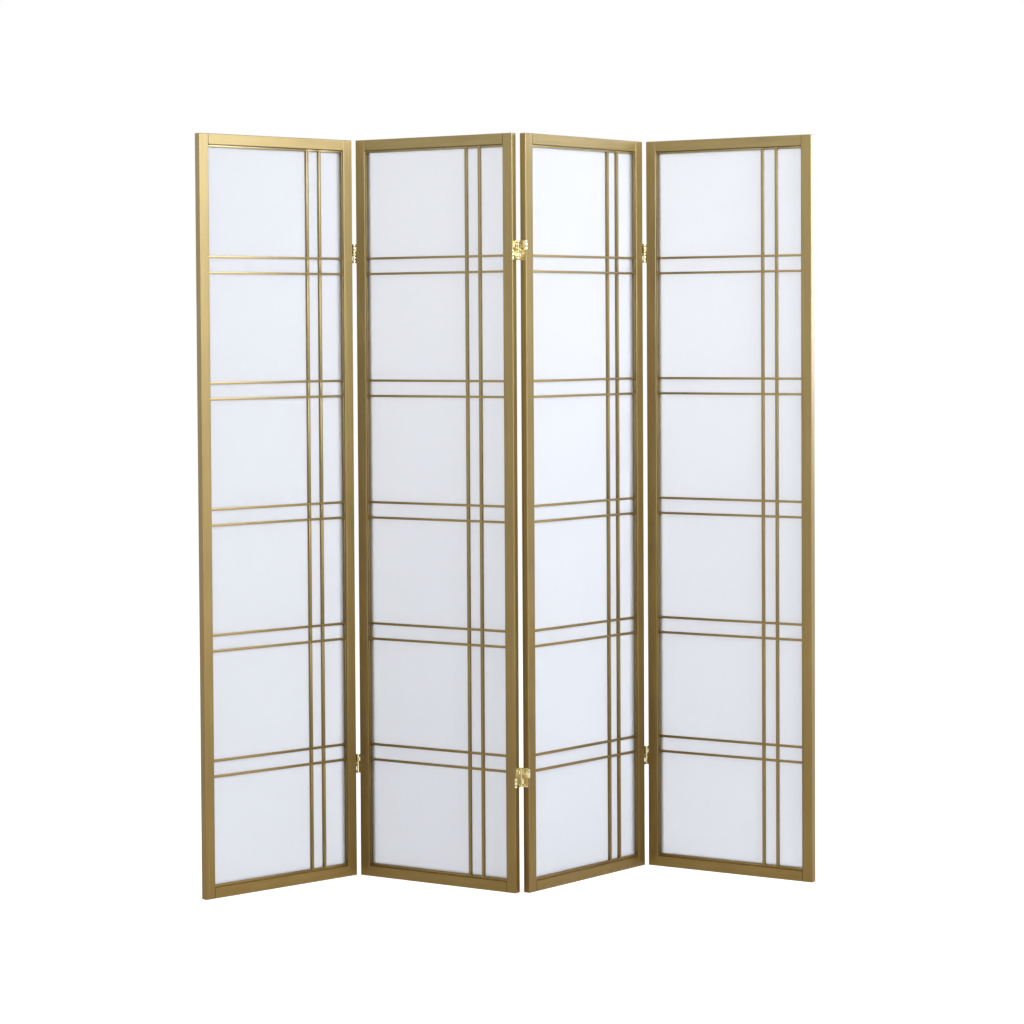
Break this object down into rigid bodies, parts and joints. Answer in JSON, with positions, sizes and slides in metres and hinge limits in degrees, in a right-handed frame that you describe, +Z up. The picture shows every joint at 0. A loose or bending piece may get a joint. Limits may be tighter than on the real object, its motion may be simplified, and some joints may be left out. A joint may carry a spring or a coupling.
{
  "type": "folding screen",
  "caption": "Freestanding folding room divider of framed paper panels behind an offset lattice, joined edge to edge by two-way hinges and standing in a zigzag.",
  "frame": {"origin": "centre of the footprint's box, at the floor, in the zigzag pose", "axes": "+X to the right across the screen, seen from the front, +Y from the front to the back, +Z up"},
  "size_m": [1.466, 0.4326, 1.803],
  "materials": {
    "gold_frame": "satin gold paint over wood with faint brushed grain",
    "gold_lattice": "satin gold paint over wood with faint brushed grain",
    "dowel_wood": "plain turned hardwood",
    "paper": "matt white translucent paper with fine fibres",
    "hinge_brass": "polished brass",
    "screw_brass": "polished brass"
  },
  "bodies": {
    "panel_2": {"left_stile_2": "gold_frame", "right_stile_2": "gold_frame", "top_rail_2": "gold_frame", "bottom_rail_2": "gold_frame", "frame_dowels_2": "dowel_wood", "edge_battens_2": "gold_lattice", "lattice_posts_2": "gold_lattice", "lattice_bars_2": "gold_lattice", "paper_2": "paper", "back_beads_2": "gold_lattice", "hinge_leaves_2": "hinge_brass", "hinge_pins_2": "hinge_brass", "hinge_screws_2": "screw_brass", "lower_links_12": "hinge_brass", "lower_links_23": "hinge_brass"},
    "panel_1": {"left_stile_1": "gold_frame", "right_stile_1": "gold_frame", "top_rail_1": "gold_frame", "bottom_rail_1": "gold_frame", "frame_dowels_1": "dowel_wood", "edge_battens_1": "gold_lattice", "lattice_posts_1": "gold_lattice", "lattice_bars_1": "gold_lattice", "paper_1": "paper", "back_beads_1": "gold_lattice", "hinge_leaves_1": "hinge_brass", "hinge_pins_1": "hinge_brass", "hinge_screws_1": "screw_brass", "upper_links_12": "hinge_brass"},
    "panel_3": {"left_stile_3": "gold_frame", "right_stile_3": "gold_frame", "top_rail_3": "gold_frame", "bottom_rail_3": "gold_frame", "frame_dowels_3": "dowel_wood", "edge_battens_3": "gold_lattice", "lattice_posts_3": "gold_lattice", "lattice_bars_3": "gold_lattice", "paper_3": "paper", "back_beads_3": "gold_lattice", "hinge_leaves_3": "hinge_brass", "hinge_pins_3": "hinge_brass", "hinge_screws_3": "screw_brass", "upper_links_23": "hinge_brass", "upper_links_34": "hinge_brass"},
    "panel_4": {"left_stile_4": "gold_frame", "right_stile_4": "gold_frame", "top_rail_4": "gold_frame", "bottom_rail_4": "gold_frame", "frame_dowels_4": "dowel_wood", "edge_battens_4": "gold_lattice", "lattice_posts_4": "gold_lattice", "lattice_bars_4": "gold_lattice", "paper_4": "paper", "back_beads_4": "gold_lattice", "hinge_leaves_4": "hinge_brass", "hinge_pins_4": "hinge_brass", "hinge_screws_4": "screw_brass", "lower_links_34": "hinge_brass"}
  },
  "joints": [
    {"name": "fold_1_2", "type": "hinge", "parent": "panel_2", "child": "panel_1", "pos_m": [-0.3782, 0.08272, 0.9015], "axis": [0, 0, 1], "range_deg": [-74, 104]},
    {"name": "fold_2_3", "type": "hinge", "parent": "panel_2", "child": "panel_3", "pos_m": [0.02203, -0.14332, 0.9015], "axis": [0, 0, 1], "range_deg": [-82.5, 95.5]},
    {"name": "fold_3_4", "type": "hinge", "parent": "panel_3", "child": "panel_4", "pos_m": [0.33576, 0.19261, 0.9015], "axis": [0, 0, -1], "range_deg": [-82, 96]}
  ]
}
